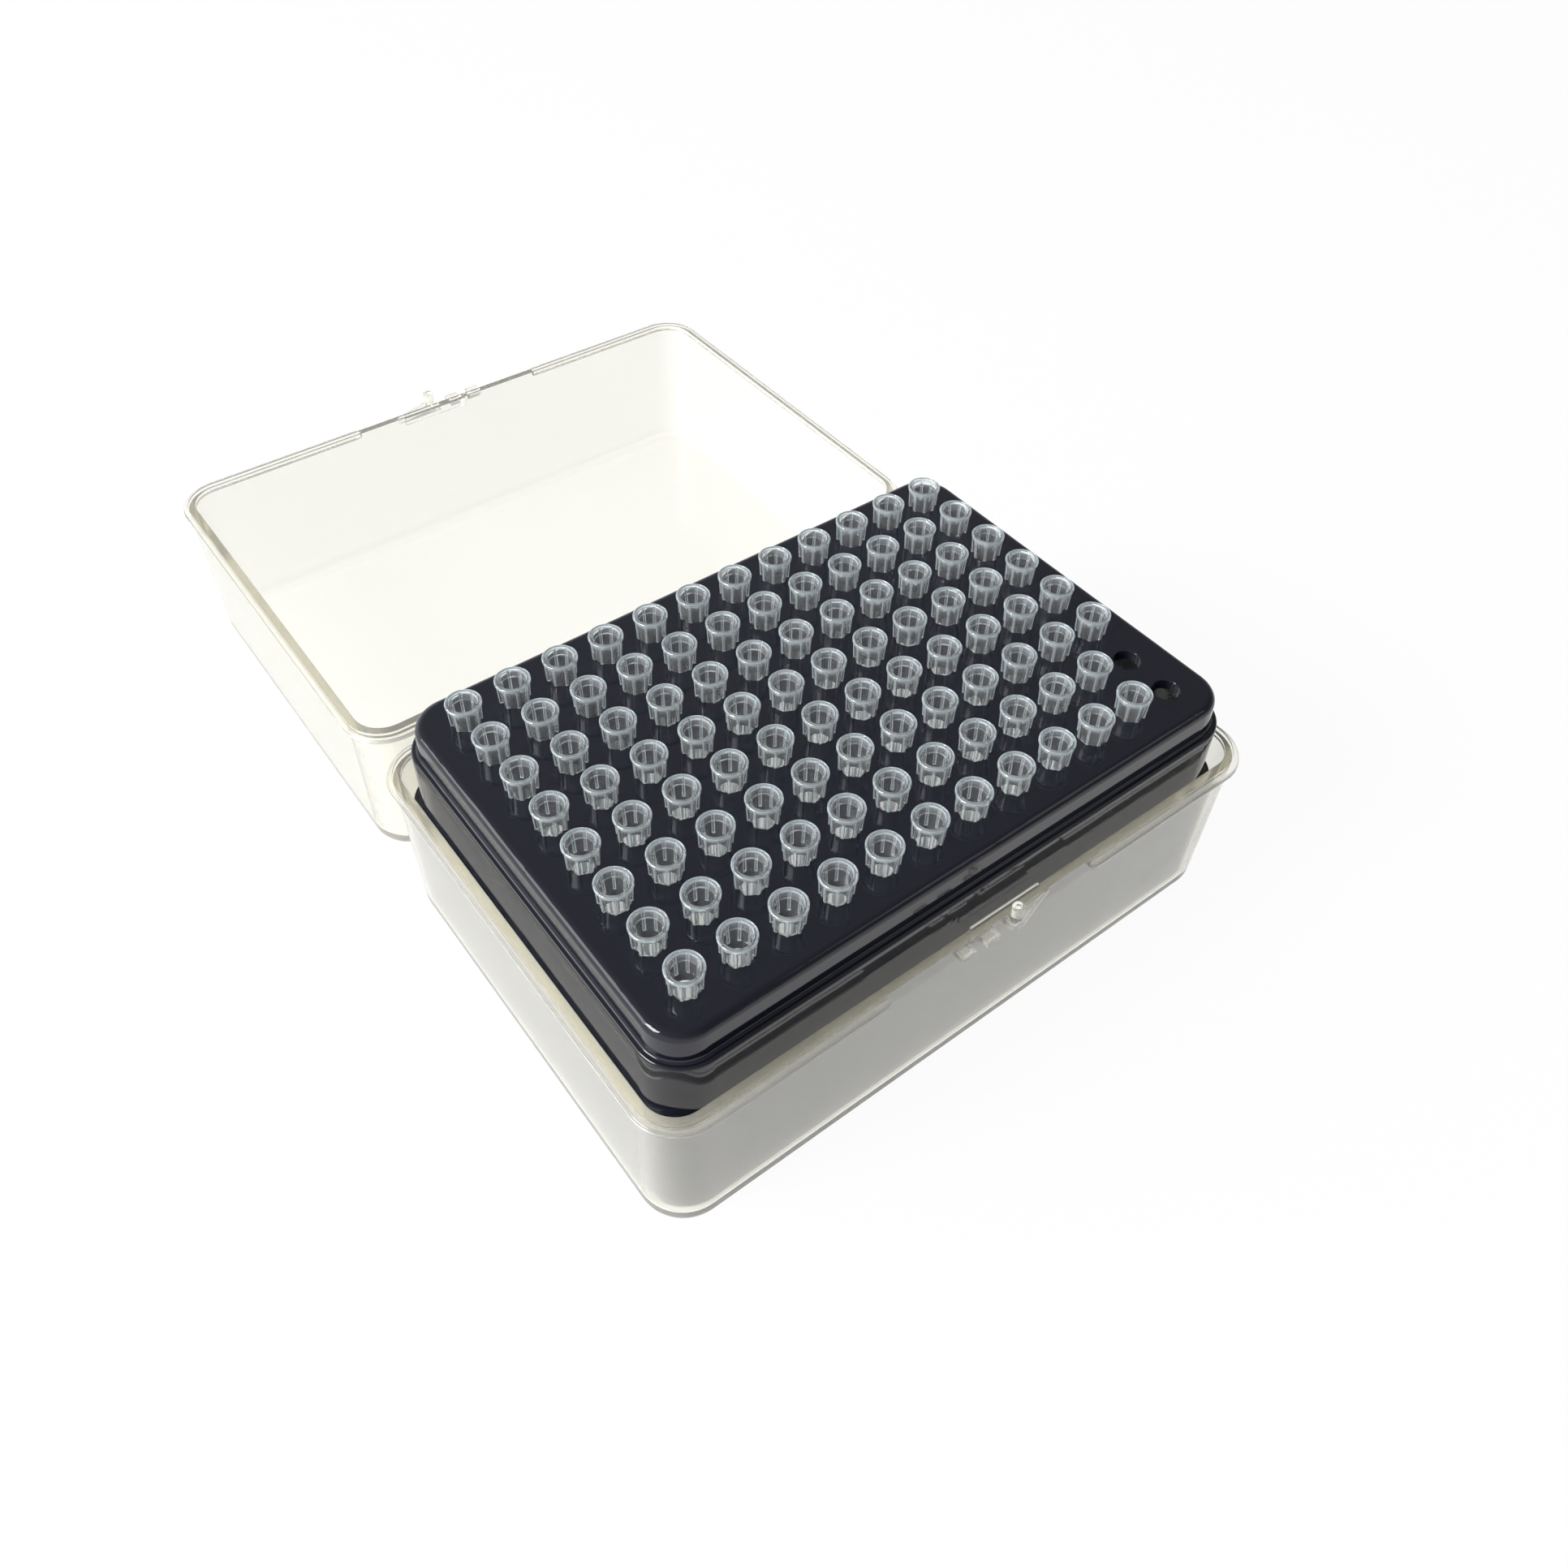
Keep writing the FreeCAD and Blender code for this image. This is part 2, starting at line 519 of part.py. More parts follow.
# ---------------------------------------------------------------- rack
def build_rack(label):
    """Model the rack: a stepped, hollow stand with a drilled deck."""
    body = doc.addObject("PartDesign::Body", label)
    skirt = (SKIRT_LENGTH, SKIRT_WIDTH, "Sizes.skirt_round")
    middle = (MIDDLE_LENGTH, MIDDLE_WIDTH, "Sizes.middle_round")
    crown = (CROWN_LENGTH, CROWN_WIDTH, "Sizes.crown_round")
    add_foot(body, skirt)
    add_tier(
        body, "Skirt", skirt,
        "Sizes.floor_depth + Sizes.skirt_chamfer", "Sizes.skirt_height", "-Sizes.skirt_lean",
    )
    add_tier(body, "Middle", middle, "Sizes.skirt_height", LEDGE, "0")
    add_tier(body, "Crown", crown, LEDGE, DECK, "Sizes.crown_lean")
    fillet(
        body, "CrownEdge", "Sizes.crown_edge",
        lambda p: near(p.z, DECK),
    )
    fillet(body, "LedgeEdges", "Sizes.ledge_edge", lambda p: near(p.z, LEDGE))
    ceiling = f"{DECK} - Sizes.deck_depth"
    hollow_tier(body, "SkirtHollow", skirt, "Sizes.floor_depth", "Sizes.skirt_height - Sizes.rack_wall")
    hollow_tier(
        body, "MiddleHollow", middle,
        "Sizes.skirt_height - Sizes.rack_wall", f"{LEDGE} - Sizes.rack_wall",
    )
    hollow_tier(body, "CrownHollow", crown, f"{LEDGE} - Sizes.rack_wall", ceiling)
    drill_deck(body)
    return body


def add_foot(body, plan):
    """Add the chamfered foot that the skirt stands on."""
    length, width, radius = plan
    lean = "2 * Sizes.skirt_lean"
    inset = "2 * (Sizes.skirt_lean + Sizes.skirt_chamfer)"
    rounded_loft(
        body, "Foot",
        ("Sizes.floor_depth", f"{length} - {inset}", f"{width} - {inset}",
         f"{radius} - Sizes.skirt_chamfer"),
        ("Sizes.floor_depth + Sizes.skirt_chamfer", f"{length} - {lean}", f"{width} - {lean}", radius),
    )


def add_tier(body, name, plan, bottom, top, lean):
    """Add one tier of the rack; a positive lean narrows its top, a negative one its bottom."""
    length, width, radius = plan
    foot = f"min(0; 2 * {lean})"
    head = f"max(0; 2 * {lean})"
    rounded_loft(
        body, name,
        (bottom, f"{length} + {foot}", f"{width} + {foot}", radius),
        (top, f"{length} - {head}", f"{width} - {head}", radius),
    )


def hollow_tier(body, name, plan, bottom, top):
    """Cut one tier's inside, leaving the rack wall."""
    length, width, radius = plan
    sketch = new_sketch(body, name + "Outline", offset=bottom)
    inset = "2 * (Sizes.rack_wall + Sizes.skirt_lean)"
    rounded_rectangle(
        sketch, f"{length} - {inset}", f"{width} - {inset}",
        f"{radius} - Sizes.rack_wall - Sizes.skirt_lean",
    )
    pocket(body, name, sketch, f"{top} - ({bottom})", upwards=True)


def drill_deck(body):
    """Cut one bevelled tip hole and repeat it over the grid."""
    first_x = f"-{GRID_LENGTH} / 2"
    first_y = f"-{GRID_WIDTH} / 2"
    bore = new_sketch(body, "HoleOutline", offset=DECK)
    disc(bore, HOLE, first_x, first_y)
    hole = pocket(body, "Hole", bore, "Sizes.deck_depth")
    rim = new_sketch(body, "BevelOutline", offset=DECK)
    disc(rim, f"{HOLE} + 2 * Sizes.hole_bevel", first_x, first_y)
    bevel = pocket(body, "HoleBevel", rim, "Sizes.hole_bevel")
    bevel.TaperAngle = -45
    doc.recompute()
    grid = body.newObject("PartDesign::MultiTransform", "HoleGrid")
    steps = []
    for name, axis, reach, count in (
        ("Along", "H_Axis", GRID_LENGTH, "Sizes.columns"),
        ("Across", "V_Axis", GRID_WIDTH, "Sizes.rows"),
    ):
        step = body.newObject("PartDesign::LinearPattern", name)
        step.Direction = (bore, [axis])
        step.setExpression("Length", reach)
        step.setExpression("Occurrences", count)
        steps.append(step)
    grid.Originals = [hole, bevel]
    grid.Transformations = steps
    body.Tip = grid
    doc.recompute()


# ---------------------------------------------------------------- tips
def build_tip(label):
    """Model one tip about its own axis, orifice at the origin: a turned shell with a ribbed collar."""
    body = doc.addObject("PartDesign::Body", label)
    profile = new_sketch(body, "TipProfile", role="XZ_Plane")
    top = "Sizes.tip_length"
    ring_foot = "(Sizes.tip_length - Sizes.ring_depth)"
    upper_step = f"({TIP_DECK} - Sizes.upper_step_drop)"
    outside = [
        ("Sizes.orifice_diameter / 2", "0"),
        ("Sizes.fine_diameter / 2", "Sizes.lower_step_height - Sizes.step_edge"),
        ("Sizes.fine_diameter / 2 + Sizes.lower_step", "Sizes.lower_step_height"),
        ("Sizes.barrel_diameter / 2", f"{upper_step} - Sizes.step_edge"),
        ("Sizes.barrel_diameter / 2 + Sizes.upper_step", upper_step),
        ("Sizes.neck_diameter / 2", TIP_DECK),
        (f"{CORE_TOP} / 2", ring_foot),
        (f"{COLLAR} / 2 - Sizes.ring_edge", ring_foot),
        (f"{COLLAR} / 2", f"{ring_foot} + Sizes.ring_edge"),
        (f"{COLLAR} / 2", f"{top} - Sizes.ring_edge"),
        (f"{COLLAR} / 2 - Sizes.ring_edge", top),
    ]
    inside = [
        (f"{BORE_SEAT} / 2 + Sizes.lead_in_reach", top),
        (f"{BORE_SEAT} / 2", f"{top} - Sizes.lead_in"),
        (f"{BORE_SEAT} / 2", f"{top} - Sizes.bore_step_depth"),
        (f"{BORE_SEAT} / 2 - Sizes.bore_ledge", f"{top} - Sizes.bore_step_depth - Sizes.ring_edge"),
        (f"{BORE_DECK} / 2", TIP_DECK),
        ("Sizes.barrel_diameter / 2 - Sizes.barrel_wall", upper_step),
        ("Sizes.fine_diameter / 2 - Sizes.fine_wall", "Sizes.lower_step_height"),
        ("Sizes.orifice_diameter / 2 - Sizes.orifice_wall", "0"),
    ]
    outline(profile, outside + inside)
    turned = body.newObject("PartDesign::Revolution", "TurnedShell")
    turned.Profile = profile
    turned.ReferenceAxis = (profile, ["V_Axis"])
    turned.Angle = 360
    doc.recompute()
    add_collar_ribs(body)
    return body


def add_collar_ribs(body):
    """Pad one upright rib out of the collar's core, repeat it round the axis and round them all."""
    web = new_sketch(body, "RibProfile", role="XZ_Plane")
    middle_of_ring = "Sizes.tip_length - Sizes.ring_depth / 2"
    outline(web, [
        (f"{BORE_DECK} / 2 + Sizes.ring_edge", TIP_DECK),
        (f"{RIB_FOOT} / 2", TIP_DECK),
        (f"{RIB_TOP} / 2", middle_of_ring),
        (f"{BORE_SEAT} / 2 + Sizes.ring_edge", middle_of_ring),
    ])
    rib = pad(body, "Rib", web, "Sizes.rib_width", midplane=True)
    ring = body.newObject("PartDesign::PolarPattern", "CollarRibs")
    ring.Originals = [rib]
    ring.Axis = (origin_feature(body, "Z_Axis"), [""])
    ring.Angle = 360
    ring.setExpression("Occurrences", "Sizes.rib_count")
    body.Tip = ring
    doc.recompute()
    fillet(body, "RibRounds", "Sizes.rib_round", on_rib_outline)


def on_rib_outline(point):
    """Tell whether a point lies on a rib's long outer edges or on the outer edge of its foot."""
    height = point.z - size(TIP_DECK)
    rise = size("Sizes.collar_height - Sizes.ring_depth / 2")
    face = size(f"{RIB_FOOT} / 2") + size("Sizes.rib_flare") * height / rise
    edge = math.hypot(face, size("Sizes.rib_width") / 2)
    radius = math.hypot(point.x, point.y)
    if abs(height) < TOUCH:
        return face - TOUCH < radius < edge + TOUCH
    return abs(radius - edge) < TOUCH


def build_column(master, column):
    """Stand copies of the tip in one column of holes and return them as one compound."""
    seats = []
    for row in range(int(size("Sizes.rows"))):
        if (column, row) in EMPTY_SEATS:
            continue
        seat = doc.addObject("App::Link", f"Tip_{column + 1:02d}_{row + 1}")
        seat.LinkedObject = master
        seat.LinkTransform = False
        turn = TURN_STEP * (column + row * size("Sizes.columns"))
        seat.Placement.Rotation = Rotation(Vector(0, 0, 1), turn)
        seat.setExpression("Placement.Base.x", f"Sizes.pitch * {column} - {GRID_LENGTH} / 2")
        seat.setExpression("Placement.Base.y", f"Sizes.pitch * {row} - {GRID_WIDTH} / 2")
        seat.setExpression("Placement.Base.z", "Sizes.floor_depth + Sizes.tip_clearance")
        seats.append(seat)
    group = doc.addObject("Part::Compound", f"tips_column_{column + 1:02d}")
    group.Links = seats
    doc.recompute()
    return group


# ---------------------------------------------------------------- assembly
tub = build_half("base_tub")
lid = build_half("lid")
lid.Placement.Rotation = Rotation(Vector(0, 0, 1), 180)
lid.setExpression("Placement.Base.y", f"2 * {HINGE_LINE}")
hinge = build_hinge_web("hinge_web")
rack = build_rack("tip_rack")
tip = build_tip("tip_master")
tip_columns = [build_column(tip, column) for column in range(int(size("Sizes.columns")))]
doc.recompute()

pieces = [tub, lid, hinge, rack] + tip_columns
for item in doc.Objects:
    if "Invalid" in item.State or "Error" in item.State:
        raise RuntimeError(f"{item.Name} did not compute: {item.State}")
for piece in pieces:
    if piece.Shape.isNull() or not piece.Shape.isValid():
        raise RuntimeError(f"{piece.Label} has no valid shape")

os.makedirs("parts", exist_ok=True)
for piece in pieces:
    piece.Shape.exportStep(f"parts/{piece.Label}.step")
    box = piece.Shape.BoundBox
    print(
        f"{piece.Label}: {len(piece.Shape.Solids)} solid(s), {piece.Shape.Volume / 1000:.2f} cm3, "
        f"{box.XLength:.2f} x {box.YLength:.2f} x {box.ZLength:.2f} mm"
    )
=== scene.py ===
"""Studio picture of an open box of micropipette tips: moulded tub and lid, black rack, clear tips."""
import logging
import math
from dataclasses import dataclass, field
from enum import Enum
from typing import Any

import bmesh
import bpy
from mathutils import Matrix, Vector


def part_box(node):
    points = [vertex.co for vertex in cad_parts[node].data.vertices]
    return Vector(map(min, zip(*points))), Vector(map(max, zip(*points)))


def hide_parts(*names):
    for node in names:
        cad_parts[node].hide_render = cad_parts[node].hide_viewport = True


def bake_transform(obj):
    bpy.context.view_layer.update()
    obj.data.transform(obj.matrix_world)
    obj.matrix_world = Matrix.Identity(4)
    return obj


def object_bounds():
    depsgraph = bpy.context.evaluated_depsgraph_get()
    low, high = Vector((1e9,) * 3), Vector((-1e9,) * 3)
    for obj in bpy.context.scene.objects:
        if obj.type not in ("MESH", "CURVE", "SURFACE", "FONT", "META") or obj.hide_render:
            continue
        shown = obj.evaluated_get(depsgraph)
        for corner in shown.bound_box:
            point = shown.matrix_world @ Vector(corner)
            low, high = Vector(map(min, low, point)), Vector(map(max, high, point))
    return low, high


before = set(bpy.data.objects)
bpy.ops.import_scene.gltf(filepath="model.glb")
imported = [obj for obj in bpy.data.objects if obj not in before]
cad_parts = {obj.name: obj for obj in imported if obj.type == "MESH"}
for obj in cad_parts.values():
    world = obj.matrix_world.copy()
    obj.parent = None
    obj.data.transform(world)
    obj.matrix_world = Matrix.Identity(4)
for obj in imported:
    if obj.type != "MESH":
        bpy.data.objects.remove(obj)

log = logging.getLogger("tip_box")

MM = 0.001
WHITE = "#ffffff"
# The mix node's sockets that carry colours: both inputs and the result.
COLOUR_A, COLOUR_B, COLOUR_OUT = 6, 7, 2
CAD_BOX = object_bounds()


class Slot(Enum):
    """Material slots of the record that new pieces take their finish from."""

    SHELL = "shell"


class Body(Enum):
    """Rigid bodies of the frame."""

    BASE = "base"
    LID = "lid"


# ---------------------------------------------------------------- helpers
def linear(hex_colour: str) -> tuple[float, float, float, float]:
    """Turn an sRGB hex colour into the linear colour that shaders take.

    Args:
        hex_colour: six hex digits, with or without a leading hash.

    Returns:
        Red, green, blue and an alpha of 1.
    """
    digits = hex_colour.lstrip("#")
    channels = [int(digits[i:i + 2], 16) / 255 for i in (0, 2, 4)]
    curve = [c / 12.92 if c <= 0.04045 else ((c + 0.055) / 1.055) ** 2.4 for c in channels]
    return (curve[0], curve[1], curve[2], 1.0)


def add_node(tree: bpy.types.NodeTree, kind: str, settings: dict[str, Any] | None = None,
             inputs: dict[Any, Any] | None = None) -> bpy.types.Node:
    """Add one shader node with its settings and its input values or links.

    Args:
        tree: node tree that the node joins.
        kind: Blender's name for the node type.
        settings: node properties by name.
        inputs: values, or output sockets to link from, by input name or number.

    Returns:
        The new node.
    """
    node = tree.nodes.new(kind)
    for name, value in (settings or {}).items():
        setattr(node, name, value)
    for key, value in (inputs or {}).items():
        socket = node.inputs[key]
        if isinstance(value, bpy.types.NodeSocket):
            tree.links.new(value, socket)
        else:
            socket.default_value = value
    return node


def new_material(name: str) -> tuple[bpy.types.Material, bpy.types.NodeTree]:
    """Make an empty node material.

    Args:
        name: the material's name.

    Returns:
        The material and its cleared node tree.
    """
    material = bpy.data.materials.new(name)
    material.use_nodes = True
    material.node_tree.nodes.clear()
    return material, material.node_tree


def close_material(tree: bpy.types.NodeTree, shader: bpy.types.NodeSocket,
                   depth: bpy.types.NodeSocket | None = None) -> None:
    """Link a shader to a new material output.

    Args:
        tree: the material's node tree.
        shader: what the surface shows.
        depth: what the plastic does to light on its way through, if anything.
    """
    end = add_node(tree, "ShaderNodeOutputMaterial", inputs={"Surface": shader})
    if depth is not None:
        tree.links.new(depth, end.inputs["Volume"])


def lets_lamps_through(tree: bpy.types.NodeTree, shader: bpy.types.NodeSocket,
                       share: float) -> bpy.types.NodeSocket:
    """Let a share of the lamps' light straight through a clear surface.

    Args:
        tree: the material's node tree.
        shader: what the surface shows.
        share: how much of the light reaches what is behind it.

    Returns:
        The mixed shader.
    """
    rays = add_node(tree, "ShaderNodeLightPath")
    amount = add_node(tree, "ShaderNodeMath", {"operation": "MULTIPLY"}, {
        0: rays.outputs["Is Shadow Ray"], 1: share,
    })
    gap = add_node(tree, "ShaderNodeBsdfTransparent")
    mixed = add_node(tree, "ShaderNodeMixShader", inputs={
        0: amount.outputs[0], 1: shader, 2: gap.outputs[0],
    })
    return mixed.outputs[0]


def dress_node(name: str, material: bpy.types.Material) -> None:
    """Give a CAD node one material on all its slots.

    Args:
        name: the CAD node.
        material: the finish it gets.
    """
    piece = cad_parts[name]
    if not piece.material_slots:
        piece.data.materials.append(material)
    for place in piece.material_slots:
        place.material = material


# ---------------------------------------------------------------- finishes
@dataclass(frozen=True)
class NaturalPolypropylene:
    """Unpigmented polypropylene, injection moulded 1.5 mm thick.

    The eye gets a milky, slightly warm wall: part of the light scatters in the skin, and the rest
    goes through and blurs what stands behind, under a soft moulded gloss.

    Args:
        name: the material's name.
        colour: the plastic's own pale tint.
        depth_colour: what thick places turn towards.
        depth_per_metre: how fast they turn.
        transmission: share of the light that passes the surface.
        lamp_share: share of the lamps' light that goes straight on.
        roughness: blur of gloss and of what is seen through the wall.
        ior: refractive index.
        mottle_mm: size of the faint waves left by the mould.
        mottle_strength: strength of those waves.
        mottle_depth_mm: height of those waves.
    """

    name: str = "natural_polypropylene_moulded"
    colour: str = "#fffef9"
    depth_colour: str = "#fdf8dc"
    depth_per_metre: float = 35.0
    transmission: float = 0.92
    lamp_share: float = 0.8
    roughness: float = 0.15
    ior: float = 1.49
    mottle_mm: float = 9.0
    mottle_strength: float = 0.05
    mottle_depth_mm: float = 0.6

    def material(self) -> bpy.types.Material:
        """Build the finish.

        Returns:
            The shell's material.
        """
        material, tree = new_material(self.name)
        place = add_node(tree, "ShaderNodeTexCoord").outputs["Object"]
        mottle = add_node(tree, "ShaderNodeTexNoise", inputs={
            "Vector": place, "Scale": 1 / (self.mottle_mm * MM), "Detail": 2.0,
        })
        bump = add_node(tree, "ShaderNodeBump", inputs={
            "Height": mottle.outputs["Fac"], "Strength": self.mottle_strength,
            "Distance": self.mottle_depth_mm * MM,
        })
        shader = add_node(tree, "ShaderNodeBsdfPrincipled", inputs={
            "Base Color": linear(self.colour),
            "Roughness": self.roughness,
            "IOR": self.ior,
            "Transmission Weight": self.transmission,
            "Normal": bump.outputs["Normal"],
        })
        depth = add_node(tree, "ShaderNodeVolumeAbsorption", inputs={
            "Color": linear(self.depth_colour), "Density": self.depth_per_metre,
        })
        surface = lets_lamps_through(tree, shader.outputs["BSDF"], self.lamp_share)
        close_material(tree, surface, depth.outputs["Volume"])
        return material


@dataclass(frozen=True)
class ClearPolypropylene:
    """Clarified polypropylene, injection moulded in a polished mould.

    The eye gets a glassy shell: its third-of-a-millimetre walls are clear, and the thick ring and
    ribs of the collar are milky, because haze grows with depth.

    Args:
        name: the material's name.
        clear_colour: tint of the thin walls.
        milky_colour: tint of the thick places.
        depth_colour: what long paths through the plastic turn towards.
        depth_per_metre: how fast they turn.
        clear_share: share of the light that passes a thin wall.
        milky_share: share of the light that passes a rib.
        ring_haze: the ring's haze as a share of a rib's.
        lamp_share: share of the lamps' light that goes straight on.
        roughness: blur of gloss and of what is seen through the wall.
        ior: refractive index.
        pitch_mm: spacing of the tips.
        rib_radius_mm: where a rib begins, from the tip's axis, at the deck.
        rib_lean: how far that radius grows with each unit of height.
        rib_fade_mm: width of the change from wall to rib.
        deck_height_mm: height of the deck over the table.
        clear_height_mm: where the ring's haze begins.
        milky_height_mm: where it is full.
    """

    name: str = "clear_polypropylene_moulded"
    clear_colour: str = "#f8fafc"
    milky_colour: str = "#e3eef2"
    depth_colour: str = "#fde3c4"
    depth_per_metre: float = 50.0
    clear_share: float = 0.966
    milky_share: float = 0.74
    ring_haze: float = 0.32
    lamp_share: float = 0.8
    roughness: float = 0.03
    ior: float = 1.49
    pitch_mm: float = 9.0
    rib_radius_mm: float = 2.42
    rib_lean: float = 0.06
    rib_fade_mm: float = 0.1
    deck_height_mm: float = 45.0
    clear_height_mm: float = 47.6
    milky_height_mm: float = 48.6

    def material(self) -> bpy.types.Material:
        """Build the finish.

        Returns:
            The tips' material.
        """
        material, tree = new_material(self.name)
        place = add_node(tree, "ShaderNodeTexCoord").outputs["Object"]
        height = add_node(tree, "ShaderNodeSeparateXYZ", inputs={0: place}).outputs["Z"]
        in_ring = add_node(tree, "ShaderNodeMapRange", inputs={
            "Value": height, "From Min": self.clear_height_mm * MM,
            "From Max": self.milky_height_mm * MM, "To Max": self.ring_haze,
        })
        beyond = add_node(tree, "ShaderNodeMath", {"operation": "MULTIPLY_ADD"}, {
            0: height, 1: -self.rib_lean, 2: self.radius(tree, place),
        })
        wall = self.rib_radius_mm - self.rib_lean * self.deck_height_mm
        in_rib = add_node(tree, "ShaderNodeMapRange", inputs={
            "Value": beyond.outputs[0], "From Min": wall * MM,
            "From Max": (wall + self.rib_fade_mm) * MM,
        })
        thick = add_node(tree, "ShaderNodeMath", {"operation": "MAXIMUM"}, {
            0: in_ring.outputs["Result"], 1: in_rib.outputs["Result"],
        })
        clear = add_node(tree, "ShaderNodeMapRange", inputs={
            "Value": thick.outputs[0], "To Min": self.clear_share, "To Max": self.milky_share,
        })
        colour = add_node(tree, "ShaderNodeMix", {"data_type": "RGBA"}, {
            0: thick.outputs[0],
            COLOUR_A: linear(self.clear_colour), COLOUR_B: linear(self.milky_colour),
        })
        shader = add_node(tree, "ShaderNodeBsdfPrincipled", inputs={
            "Base Color": colour.outputs[COLOUR_OUT],
            "Roughness": self.roughness,
            "IOR": self.ior,
            "Transmission Weight": clear.outputs["Result"],
        })
        depth = add_node(tree, "ShaderNodeVolumeAbsorption", inputs={
            "Color": linear(self.depth_colour), "Density": self.depth_per_metre,
        })
        surface = lets_lamps_through(tree, shader.outputs["BSDF"], self.lamp_share)
        close_material(tree, surface, depth.outputs["Volume"])
        return material

    def radius(self, tree: bpy.types.NodeTree, place: bpy.types.NodeSocket) -> bpy.types.NodeSocket:
        """Measure how far a point lies from the axis of the tip it belongs to.

        Args:
            tree: the material's node tree.
            place: the point, in metres.

        Returns:
            The distance in metres.
        """
        pitch = self.pitch_mm * MM
        cells = add_node(tree, "ShaderNodeVectorMath", {"operation": "SCALE"}, {
            0: place, "Scale": 1 / pitch,
        })
        share = add_node(tree, "ShaderNodeVectorMath", {"operation": "FRACTION"}, {
            0: cells.outputs[0],
        })
        offset = add_node(tree, "ShaderNodeVectorMath", {"operation": "SUBTRACT"}, {
            0: share.outputs[0], 1: (0.5, 0.5, 0.5),
        })
        flat = add_node(tree, "ShaderNodeVectorMath", {"operation": "MULTIPLY"}, {
            0: offset.outputs[0], 1: (pitch, pitch, 0.0),
        })
        length = add_node(tree, "ShaderNodeVectorMath", {"operation": "LENGTH"}, {
            0: flat.outputs[0],
        })
        return length.outputs["Value"]


@dataclass(frozen=True)
class BlackPolypropylene:
    """Carbon-black polypropylene, injection moulded in a polished mould.

    The eye gets a blue-black surface with clear, slightly wavy reflections.

    Args:
        name: the material's name.
        colour: the pigment's colour.
        roughness: blur of the gloss.
        ior: refractive index.
        wave_mm: size of the waves left by shrinkage.
        wave_strength: strength of those waves.
        wave_depth_mm: height of those waves.
    """

    name: str = "black_polypropylene_polished"
    colour: str = "#12141e"
    roughness: float = 0.07
    ior: float = 1.49
    wave_mm: float = 14.0
    wave_strength: float = 0.08
    wave_depth_mm: float = 1.0

    def material(self) -> bpy.types.Material:
        """Build the finish.

        Returns:
            The rack's material.
        """
        material, tree = new_material(self.name)
        place = add_node(tree, "ShaderNodeTexCoord").outputs["Object"]
        waves = add_node(tree, "ShaderNodeTexNoise", inputs={
            "Vector": place, "Scale": 1 / (self.wave_mm * MM), "Detail": 1.0,
        })
        bump = add_node(tree, "ShaderNodeBump", inputs={
            "Height": waves.outputs["Fac"], "Strength": self.wave_strength,
            "Distance": self.wave_depth_mm * MM,
        })
        shader = add_node(tree, "ShaderNodeBsdfPrincipled", inputs={
            "Base Color": linear(self.colour),
            "Roughness": self.roughness,
            "IOR": self.ior,
            "Normal": bump.outputs["Normal"],
        })
        close_material(tree, shader.outputs["BSDF"])
        return material


# ---------------------------------------------------------------- sub-assemblies
@dataclass
class Shell:
    """Tub and lid, one moulding joined by a living hinge.

    Args:
        finish: the shell's plastic.
        hinge_rows: rows of faces across the web, which shape its crease smoothly.
        crease: how much of the web's thickness is missing at the crease.
        nodes: the two halves.
        web_node: the web between them.
        web_name: name of the web that stands in for it.
    """

    finish: NaturalPolypropylene = field(default_factory=NaturalPolypropylene)
    hinge_rows: int = 12
    crease: float = 0.45
    nodes: tuple[str, ...] = ("base_tub", "lid")
    web_node: str = "hinge_web"
    web_name: str = "living_hinge"

    def build(self) -> list[str]:
        """Dress the halves and lay the web between them.

        Returns:
            Names of what was dressed or made.
        """
        material = self.finish.material()
        for name in self.nodes:
            dress_node(name, material)
        web = self.web(material)
        return [*self.nodes, web.name]

    def web(self, material: bpy.types.Material) -> bpy.types.Object:
        """Make the thin web, thinner at its crease, in place of the CAD web.

        Args:
            material: the shell's finish.

        Returns:
            The web.
        """
        low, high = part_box(self.web_node)
        mesh = bpy.data.meshes.new(self.web_name)
        form = bmesh.new()
        rows = []
        for step in range(self.hinge_rows + 1):
            share = step / self.hinge_rows
            y = low.y + (high.y - low.y) * share
            thin = 1 - self.crease * math.cos((share - 0.5) * math.pi) ** 4
            bottom = high.z - (high.z - low.z) * thin
            ring = [
                form.verts.new((low.x, y, bottom)), form.verts.new((high.x, y, bottom)),
                form.verts.new((high.x, y, high.z)), form.verts.new((low.x, y, high.z)),
            ]
            rows.append(ring)
        for one, two in zip(rows, rows[1:]):
            for side in range(len(one)):
                after = (side + 1) % len(one)
                form.faces.new((one[side], one[after], two[after], two[side]))
        form.faces.new(rows[0])
        form.faces.new(rows[-1][::-1])
        bmesh.ops.recalc_face_normals(form, faces=form.faces)
        form.to_mesh(mesh)
        form.free()
        mesh.materials.append(material)
        web = bpy.data.objects.new(self.web_name, mesh)
        bpy.context.scene.collection.objects.link(web)
        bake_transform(web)
        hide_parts(self.web_node)
        return web


@dataclass
class Rack:
    """The stepped black stand that carries the tips.

    Args:
        finish: the rack's plastic.
        node: the rack.
    """

    finish: BlackPolypropylene = field(default_factory=BlackPolypropylene)
    node: str = "tip_rack"

    def build(self) -> list[str]:
        """Dress the rack.

        Returns:
            Names of what was dressed.
        """
        dress_node(self.node, self.finish.material())
        return [self.node]


@dataclass
class Tips:
    """The tips, one node for each column of the rack.

    Args:
        finish: the tips' plastic.
        prefix: how the columns' names begin.
    """

    finish: ClearPolypropylene = field(default_factory=ClearPolypropylene)
    prefix: str = "tips_column_"

    def build(self) -> list[str]:
        """Dress every column.

        Returns:
            Names of what was dressed.
        """
        material = self.finish.material()
        columns = sorted(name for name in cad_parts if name.startswith(self.prefix))
        for name in columns:
            dress_node(name, material)
        return columns


